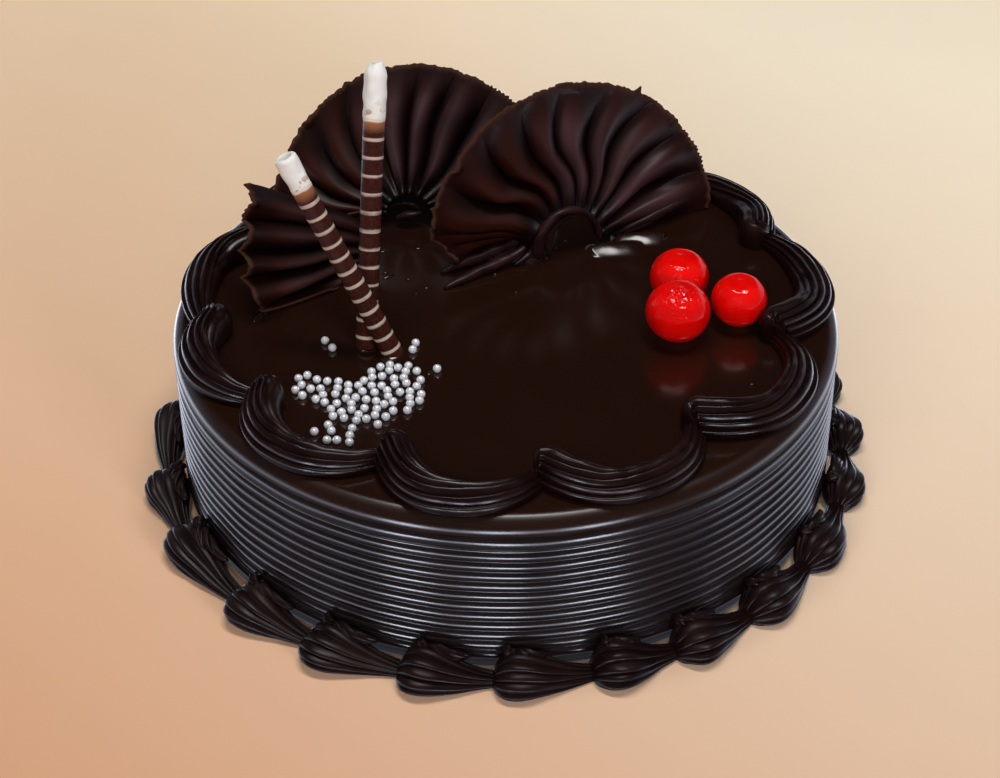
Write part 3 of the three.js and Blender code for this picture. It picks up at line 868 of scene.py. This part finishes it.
def buildFan(fan):
    shape = fanShape
    folds = fan["folds"]
    columns = (len(folds) - 1) * shape["foldColumns"]
    ground = top["height"] + 0.35
    tilt = (Matrix.Rotation(math.radians(fan["turn"]), 3, "Z")
            @ Matrix.Rotation(math.radians(-fan["lean"]), 3, "X"))
    foot = Vector((*fan["at"], top["height"] + shape["footHeight"]))
    seed = fan["seed"]
    marks = {"rim": [], "crest": [], "paintedSheen": []}

    def uneven(x, y, z):
        return noise.noise(Vector((x, y, z)))

    def place(part, column):
        first = min(column // shape["foldColumns"], len(folds) - 2)
        share = column / shape["foldColumns"] - first
        here, after = folds[first], folds[first + 1]
        out = max(part - shape["lip"], 0) / (1 - shape["lip"])
        inside = max(shape["lip"] - part, 0) / shape["lip"]
        angle = lerp(foldAngle(here, out), foldAngle(after, out), share)
        # petals are narrow at their necks, full half way out with rounded valleys, and soft at the rim
        rising = after[3] > here[3]
        climb = share if rising else 1 - share
        climb = lerp(0.5 - 0.5 * math.cos(math.pi * climb), (1 - (1 - climb) ** 2) ** 0.6, shape["full"])
        stands = lerp(here[3], after[3], climb if rising else 1 - climb)
        # painted light: each petal is paler on its lit side up to the edge that laps over the next one, with
        # painted shade in the valleys; evenly paler towards the rim and uneven at random
        crest = smooth((share - 0.1) / 0.8) if rising else 1 - smooth((share - 0.45) / 0.5)
        crest = lerp(crest ** 2 * smooth((out - 0.04) / 0.25), 0.36, 0.85 * smooth((out - 0.68) / 0.26))
        crest *= 0.8 + 0.5 * uneven(angle * 0.06, out * 2.5, seed + 20)
        marks["crest"].append(crest)
        marks["paintedSheen"].append(fanPaintedSheen(fan, angle, out))
        # painted highlight: the outermost band of the sheet gets a paler colour
        marks["rim"].append(smooth((out - 0.96) / 0.035))
        depth = shape["pleat"] * between(fan["rows"], out)
        # petals lean over the next one
        angle += shape["overlap"] * max(stands, 0) * math.sin(math.pi * out ** 0.7)
        crease = uneven(angle * 0.16, out * 1.5, seed) * 0.6 * smooth(out / 0.12) * smooth((0.5 - out) / 0.35)
        roll = uneven(angle * 0.05, out * 2.2, seed + 9) * 1.3 * smooth(out * 1.5)
        raised = depth * stands + crease + roll
        ragged = uneven(angle * 0.42, seed, 0) + 0.8 * uneven(angle * 0.11, seed, 5)
        ragged += 0.5 * uneven(angle * 1.3, seed, 8)
        even = fan["rim"] * lerp(here[4], after[4], smooth(share))
        reach = even + ragged * shape["ragged"]
        if fan["sawFrom"] < angle < fan["sawTo"]:
            reach += shape["saw"] * (abs((angle * 0.55) % 1 - 0.5) - 0.25) * 2
        reach += shape["spike"] * max(1 - abs(angle - fan["spikeAt"]) / 1.3, 0) ** 1.5
        reach = lerp(even, reach, smooth((out - 0.75) / 0.25))
        # the rim is torn, and its edge curls towards the front here and there
        frill = max(uneven(angle * 0.27, seed, 12) + uneven(angle * 0.09, seed, 3), 0)
        frill *= smooth((out - 0.9) / 0.1)
        raised += shape["frill"] * frill * (0.6 + 1.4 * smooth((angle - 125) / 20))
        gather = fan["gather"] + fan["leftFoot"] * smooth((angle - 100) / 70)
        gather += fan["rightFoot"] * smooth((65 - angle) / 65)
        radius = lerp(gather * (1 - 0.06 * inside ** 1.5), reach, out)
        turn = math.radians(angle)
        bend = shape["cup"] * smooth(out) * math.sin(turn) - shape["curl"] * (1 - out) ** 7
        bend += shape["throat"] * inside ** 1.5
        aside = fan["shiftIn"] * (1 - out) ** 3
        point = Vector((radius * math.cos(turn) + aside, bend - raised, radius * math.sin(turn)))
        point = tilt @ point + foot
        point.z = max(point.z, ground)
        return point

    sheet = skin(fan["piece"], shape["rows"], columns, place, closed=False)
    for name, numbers in marks.items():
        markPoints(sheet, name, numbers)
    wall = sheet.modifiers.new("wall", "SOLIDIFY")
    wall.thickness = shape["thickness"] * mm
    wall.offset = 0
    bpy.ops.object.modifier_apply(modifier=wall.name)
    bpy.ops.object.shade_smooth_by_angle(angle=math.radians(60))
    return joined([sheet, *[buildStrand(points, seed + k) for k, points in enumerate(fan["strands"])]])


def buildStrand(points, seed):  # a rounded, slightly flattened roll of chocolate along its points
    spots = [[(k / (len(points) - 1), point[axis]) for k, point in enumerate(points)] for axis in range(4)]

    def centre(part):
        return Vector([between(spots[axis], part) for axis in range(3)])

    def place(part, column):
        ahead = (centre(min(part + 0.02, 1)) - centre(max(part - 0.02, 0))).normalized()
        aside = ahead.cross(Vector((0.2, 0.5, 1))).normalized()
        upward = aside.cross(ahead)
        turn = math.tau * (column % fanShape["strandColumns"]) / fanShape["strandColumns"]
        half = between(spots[3], part) * closedEnds(part, 0.05, 0.05)
        half *= 1 + 0.16 * noise.noise(centre(part) * 0.3 + Vector((seed, math.cos(turn), math.sin(turn))))
        return (centre(part) + aside * math.cos(turn) * half
                + upward * math.sin(turn) * half * fanShape["strandSquat"])

    strand = skin("strand", fanShape["strandRows"], fanShape["strandColumns"], place)
    places = [corner.co / mm for corner in strand.data.vertices]
    drift = Vector((seed, 0, 0))
    # painted light and painted violet sheen on the laid strands, uneven at random
    markPoints(strand, "crest", [0.3 + 0.35 * noise.noise(spot * 0.2 + drift) for spot in places])
    markPoints(strand, "paintedSheen", [0.45] * len(places))
    return strand


# the sheet's own colour here is painted shade, darker than the chocolate; the painted light below lifts the
# lit sides of the petals
sheetChocolate, sheetTree, sheetShader = chocolateMaterial("sheetChocolate", {
    "Dark": (0.0024, 0.0006, 0.0005, 1), "Light": (0.0055, 0.0014, 0.001, 1),
    "Patch Scale": 45, "Grain Scale": 600, "Low Roughness": 0.38, "High Roughness": 0.46,
}, (0.3, 0.08), **{"Specular IOR Level": 0.2})
# painted light colours: the lit side of a petal, its violet sheen, and the rim highlight
sheetColors = {"paintedLit": (0.029, 0.0062, 0.0036, 1), "paintedSheen": (0.05, 0.0225, 0.025, 1),
               "paintedRimLight": (0.05, 0.019, 0.012, 1), "tornDull": 0.5}


def paintSheetLight(tree, shader):  # painted light and shade: the lit side of each petal is paler, some with a painted violet sheen, and the rim is palest, a painted edge highlight; the rim is also duller
    rim, crest, paintedSheen = [marked(tree, name) for name in ("rim", "crest", "paintedSheen")]
    paintedLit = blended(tree, paintedSheen, sheetColors["paintedLit"], sheetColors["paintedSheen"])
    face = blended(tree, crest, fedBy(shader, "Base Color"), paintedLit)
    tree.links.new(blended(tree, rim, face, sheetColors["paintedRimLight"]), shader.inputs["Base Color"])
    dull = mapped(tree, rim, 0, 1, 0, sheetColors["tornDull"])
    tree.links.new(combined(tree, "ADD", fedBy(shader, "Roughness"), dull), shader.inputs["Roughness"])


paintSheetLight(sheetTree, sheetShader)
for fan in fans:
    finishPiece(buildFan(fan), sheetChocolate, "chocolate", fan["name"])
print("fans gathered")


# Cherries
cherries = [
    # pit: where the stalk sat, as azimuth, elevation, half angle and depth
    # creased: how wrinkled it is near the top
    {"name": "cherry_back", "piece": "cherryBack", "at": (53.8, 4.3), "radius": 9.2, "seed": 1,
     "pit": (-84, 62, 9, 0.16), "creased": 0.35},
    {"name": "cherry_front", "piece": "cherryFront", "at": (52.1, -15.2), "radius": 9.9, "seed": 2,
     "pit": (-97, 20, 6, 0.08), "creased": 1.5},
    {"name": "cherry_right", "piece": "cherryRight", "at": (71.3, -7.5), "radius": 8.6, "seed": 3,
     "pit": (-98, 60, 17, 0.3), "creased": 0.3},
]
cherryShape = {"segments": 160, "rings": 100, "squat": 0.95, "dimple": 1.2, "wrinkle": 0.05, "fine": 0.42,
               "creaseTurn": -94, "creaseRise": 62, "creaseHalf": 30}


def wayTo(turn, rise):
    return polar(math.cos(math.radians(rise)), turn, math.sin(math.radians(rise)))


def buildCherry(cherry):
    deselectAll()
    shape, radius, seed = cherryShape, cherry["radius"], cherry["seed"]
    pitTurn, pitRise, pitHalf, pitDepth = cherry["pit"]
    creaseWay = wayTo(shape["creaseTurn"], shape["creaseRise"])
    pitWay = wayTo(pitTurn, pitRise)
    bpy.ops.mesh.primitive_uv_sphere_add(segments=shape["segments"], ring_count=shape["rings"],
                                         radius=radius * mm)
    piece = bpy.context.object
    piece.name = cherry["piece"]
    middle = Vector((*cherry["at"], top["height"] + 0.1 + radius * shape["squat"]))
    for corner in piece.data.vertices:
        way = corner.co.normalized()
        crown = smooth((way.z - 0.72) / 0.28)
        wrinkle = noise.noise(way * 3.5 + Vector((seed * 7, 0, 0))) + 0.6 * noise.noise(
            Vector((way.x * 9, way.y * 9, way.z * 4)) + Vector((0, seed * 5, 0)))
        fine = noise.noise(Vector((way.x * 7, way.y * 7, way.z * 15 + seed))) + 0.6 * noise.noise(
            Vector((way.x * 14, way.y * 14, way.z * 26 - seed)))
        fine *= math.exp(-(way.angle(creaseWay) / math.radians(shape["creaseHalf"])) ** 2)
        size = radius - shape["dimple"] * crown ** 2 + shape["wrinkle"] * wrinkle
        size += cherry["creased"] * shape["fine"] * fine
        size -= pitDepth * math.exp(-2 * (way.angle(pitWay) / math.radians(pitHalf)) ** 2)
        corner.co = (middle + Vector((way.x, way.y, way.z * shape["squat"])) * size) * mm
    bpy.ops.object.shade_smooth()
    return piece


for cherry in cherries:
    finishPiece(buildCherry(cherry), cherryRed, "cherry", cherry["name"])
print("cherries set")


# Rolled wafer sticks, dark with thin cream rings and a white dipped tip
stick = {"radius": 3.2, "hollow": 1.9, "depth": 5, "sides": 40, "steps": 80, "uneven": 0.12, "foot": -1.5,
         "ringHalf": 0.56, "ringEdge": 0.12, "ringWander": 0.35}
sticks = [
    # white, firstRing and pitch are measured down from the tip
    {"name": "stick_rear", "piece": "stickRear", "foot": (-42.5, -18.7), "tip": (-37.6, 8.7, 138),
     "white": 17.2, "firstRing": 22.7, "pitch": 5.55, "closed": 0.85, "seed": 5},
    {"name": "stick_front", "piece": "stickFront", "foot": (-34.2, -22.9), "tip": (-63.6, -16.5, 121),
     "white": 11, "firstRing": 15.7, "pitch": 4.9, "closed": 0, "seed": 8},
]
waferColors = {
    "brownDark": (0.026, 0.0062, 0.0042, 1), "brownLight": (0.052, 0.0135, 0.009, 1),
    "caramel": (0.3, 0.125, 0.055, 1), "ring": (0.46, 0.36, 0.3, 1), "white": (0.72, 0.72, 0.69, 1),
    "whiter": (0.73, 0.73, 0.7, 1), "stain": (0.4, 0.22, 0.12, 1), "cream": (0.66, 0.59, 0.5, 1),
    "hollow": (0.3, 0.17, 0.1, 1)}


def waferMaterial():
    material, tree, shader = newMaterial("wafer", **{"Specular IOR Level": 0.1})
    where = objectPlace(tree)
    wander, grain, stain = [noisy(tree, where, scale) for scale in (260, 1400, 420)]
    shade = waferColors
    drift = combined(tree, "MULTIPLY", combined(tree, "SUBTRACT", wander, 0.5), stick["ringWander"])
    fromRing = combined(tree, "ADD", marked(tree, "ringDistance"), drift)
    below = combined(tree, "ADD", marked(tree, "belowWhite"), combined(tree, "MULTIPLY", drift, 3))
    half, edge = stick["ringHalf"], stick["ringEdge"]
    ring = mapped(tree, fromRing, half - edge, half + edge, 1, 0)
    brown = blended(tree, mapped(tree, grain, 0.35, 0.7), shade["brownDark"], shade["brownLight"])
    caramel = blended(tree, mapped(tree, below, 0.4, 3.6), shade["caramel"], brown)
    ringed = blended(tree, ring, caramel, shade["ring"])
    # the white end is stained towards the wafer, with cream where it ends
    speckle = blended(tree, mapped(tree, stain, 0.56, 0.62, 0, 0.85), shade["white"], shade["stain"])
    spotted = blended(tree, mapped(tree, below, -7, -2.2), shade["whiter"], speckle)
    creamed = blended(tree, mapped(tree, below, -1.2, -0.8), spotted, shade["cream"])
    color = blended(tree, mapped(tree, below, -0.15, 0.25), creamed, ringed)
    color = blended(tree, marked(tree, "inHollow"), color, shade["hollow"])
    tree.links.new(color, shader.inputs["Base Color"])
    tree.links.new(mapped(tree, grain, 0.3, 0.7, 0.42, 0.6), shader.inputs["Roughness"])
    height = combined(tree, "ADD", combined(tree, "MULTIPLY", grain, 0.7), ring)
    tree.links.new(bumped(tree, height, 0.5, 0.12).outputs["Normal"], shader.inputs["Normal"])
    return material


wafer = waferMaterial()


def buildStick(item):
    foot = Vector((*item["foot"], top["height"] + 0.1))
    tip = Vector(item["tip"])
    axis = (tip - foot).normalized()
    length = (tip - foot).length
    radius, hollow, steps, bottom = stick["radius"], stick["hollow"], stick["steps"], stick["foot"]
    profile = [(0, bottom), (radius, bottom)]
    profile += [(radius, lerp(bottom, length - 0.8, k / steps)) for k in range(1, steps + 1)]
    profile += [(radius - 0.25, length - 0.25), (radius - 0.7, length), (hollow + 0.25, length),
                (hollow, length - 0.4), (hollow, length - stick["depth"]), (0, length - stick["depth"])]
    piece = turned(item["piece"], profile, stick["sides"])
    drift = Vector((item["seed"], 0, 0))
    values = {name: [] for name in ("ringDistance", "belowWhite", "inHollow")}
    for corner in piece.data.vertices:
        x, y, z = corner.co / mm
        fromTip = length - z
        count = max(round((fromTip - item["firstRing"]) / item["pitch"]), 0)
        values["ringDistance"].append(abs(fromTip - item["firstRing"] - count * item["pitch"]))
        values["belowWhite"].append(fromTip - item["white"])
        inHollow = math.hypot(x, y) < hollow + 0.1 and z > 0
        values["inHollow"].append(0.75 if inHollow and fromTip > 0.9 else 0)
        # the dipped end is lumpy, and one tip is pinched nearly shut
        lump = noise.noise(Vector((x * 0.35, y * 0.35, z * 0.28)) + drift)
        lump *= smooth((item["white"] + 1 - fromTip) / 2)
        pinch = item["closed"] * smooth((4.5 - fromTip) / 4.5) ** 1.5
        coat = 0.06 * smooth((item["white"] - fromTip + 0.4) / 0.8)
        grow = 1 + coat + lump * stick["uneven"] - pinch * 0.5
        uneven = noise.noise(Vector((x * 0.22, y * 0.22, 3)) + drift) * 1.1 * smooth((2.5 - fromTip) / 2.5)
        corner.co = Vector((x * grow, y * grow, z + uneven * (1 if not inHollow else 0.4))) * mm
    for name, numbers in values.items():
        markPoints(piece, name, numbers)
    turn = Vector((0, 0, 1)).rotation_difference(axis).to_matrix().to_4x4()
    shift(piece, Matrix.Translation(foot * mm) @ turn)
    return piece


for item in sticks:
    finishPiece(buildStick(item), wafer, "wafer", item["name"])
print("wafer sticks rolled")


# Floor and light
# the floor colour is painted darker and browner towards the front left and paler towards the back right, and
# darker again at the left: a painted fall-off of light; the fibre is a faint random texture
paper = {"size": 6, "turn": -65, "reach": 0.3, "near": (0.57, 0.295, 0.168, 1), "far": (1.0, 0.88, 0.675, 1),
         "tint": (1, 0.89, 0.81, 1), "tintFrom": -0.14, "tintTo": 0.1,
         "fibre": (0.6, 0.5, 0.4, 1), "fibreScale": 35, "fibreShare": 0.03}


def buildFloor():
    deselectAll()
    bpy.ops.mesh.primitive_plane_add(size=paper["size"])
    floor = bpy.context.object
    floor.name = "floor"
    material, tree, shader = newMaterial("floorPaper", **{"Roughness": 0.9, "Specular IOR Level": 0.1})
    place = objectPlace(tree)
    where = addNode(tree, "ShaderNodeMapping")
    where.inputs["Rotation"].default_value = (0, 0, math.radians(paper["turn"]))
    tree.links.new(place, where.inputs["Vector"])
    # painted fall-off of light across the floor, and painted shade towards the left
    share = mapped(tree, axesOf(tree, where.outputs["Vector"])["X"], -paper["reach"], paper["reach"])
    shade = blended(tree, share, paper["near"], paper["far"])
    leftward = mapped(tree, axesOf(tree, place)["X"], paper["tintFrom"], paper["tintTo"])
    tint = blended(tree, leftward, paper["tint"], (1, 1, 1, 1))
    fibre = mapped(tree, noisy(tree, place, paper["fibreScale"], detail=4), 0.3, 0.7, 0, paper["fibreShare"])
    tint = blended(tree, fibre, tint, paper["fibre"])
    tree.links.new(blended(tree, 1, shade, tint, blend_type="MULTIPLY"), shader.inputs["Base Color"])
    floor.data.materials.append(material)
    floor.visible_glossy = False


lamps = [  # name, place, target, size, power, colour, whether it shows in gloss
    ("overhead", (0.05, 0.08, 1.7), (0.02, 0, 0), (1.0, 0.27), 17.5, (1, 0.98, 0.96), True),
    ("softSide", (-0.35, -1.5, 1.05), (0, 0, 0.05), (1.5, 1.1), 16, (1, 0.97, 0.94), False),
    ("lowSide", (0.8, -1.3, 0.55), (0.1, 0.1, 0.07), (0.42, 0.36), 9, (0.9, 0.9, 1), False),
]


def addLight(name, place, target, size, power, color, inGloss):
    deselectAll()
    bpy.ops.object.light_add(type="AREA", location=place)
    lamp = bpy.context.object
    lamp.name = name
    lamp.data.shape = "RECTANGLE"
    lamp.data.size, lamp.data.size_y = size
    lamp.data.energy = power
    lamp.data.color = color
    lamp.rotation_euler = (Vector(target) - Vector(place)).to_track_quat("-Z", "Y").to_euler()
    lamp.visible_glossy = inGloss


# the studio round the cake, by height: a bright strip below the horizon, with narrow brighter places and a
# gap, then a dim sky, and a wall behind that is pale low down and dark above
studio = {"down": (0.22, 0.23, 0.27, 1), "low": (1.22, 1.27, 1.5, 1), "strip": (4.3, 4.5, 5.4, 1),
          "glint": (28, 30, 35, 1), "glintTurns": (-121, -93, -63),
          "gap": (0.12, 0.125, 0.15, 1), "gapTurn": -36,
          "overStrip": (0.45, 0.48, 0.58, 1), "horizon": (0.1, 0.107, 0.127, 1),
          "sky": (0.08, 0.083, 0.092, 1), "wallLow": (0.55, 0.58, 0.7, 1), "wallHigh": (0.012, 0.01, 0.01, 1)}


def buildWorld():
    world = bpy.data.worlds.new("studio")
    bpy.context.scene.world = world
    world.use_nodes = True
    tree = world.node_tree
    direction = axesOf(tree, addNode(tree, "ShaderNodeTexCoord").outputs["Generated"])
    aside, behind, height = direction["X"], direction["Y"], direction["Z"]
    turn = combined(tree, "ARCTAN2", behind, aside)
    wall = mapped(tree, behind, 0.1, 0.5)

    def awayFrom(place, near, far, most=1):  # falls off to both sides of a direction
        away = combined(tree, "ABSOLUTE", combined(tree, "SUBTRACT", turn, math.radians(place)))
        return mapped(tree, away, math.radians(near), math.radians(far), most, 0)

    def both(first, second):
        return combined(tree, "MULTIPLY", first, second)

    shade = blended(tree, mapped(tree, height, -0.62, -0.44), studio["down"], studio["low"])
    strip = both(mapped(tree, height, -0.49, -0.42), mapped(tree, aside, 0.3, 0.65, 1, 0.3))
    strip = both(strip, mapped(tree, aside, -0.95, -0.45, 0.3, 1))
    shade = blended(tree, strip, shade, studio["strip"])
    for place in studio["glintTurns"]:
        narrow = both(awayFrom(place, 2.5, 8), mapped(tree, height, -0.48, -0.36))
        shade = blended(tree, narrow, shade, studio["glint"])
    shade = blended(tree, awayFrom(studio["gapTurn"], 10, 19, 0.85), shade, studio["gap"])
    for share, color in ((mapped(tree, height, -0.27, -0.2), "overStrip"),
                         (mapped(tree, height, -0.12, 0.0), "horizon"),
                         (both(mapped(tree, height, -0.05, 0.04), wall), "wallLow"),
                         (mapped(tree, height, 0.15, 0.5), "sky"),
                         (both(wall, mapped(tree, height, 0.25, 0.42)), "wallHigh")):
        shade = blended(tree, share, shade, studio[color])
    tree.links.new(shade, tree.nodes["Background"].inputs[0])


buildFloor()
buildWorld()
for lamp in lamps:
    addLight(*lamp)
print("floor and light ready")
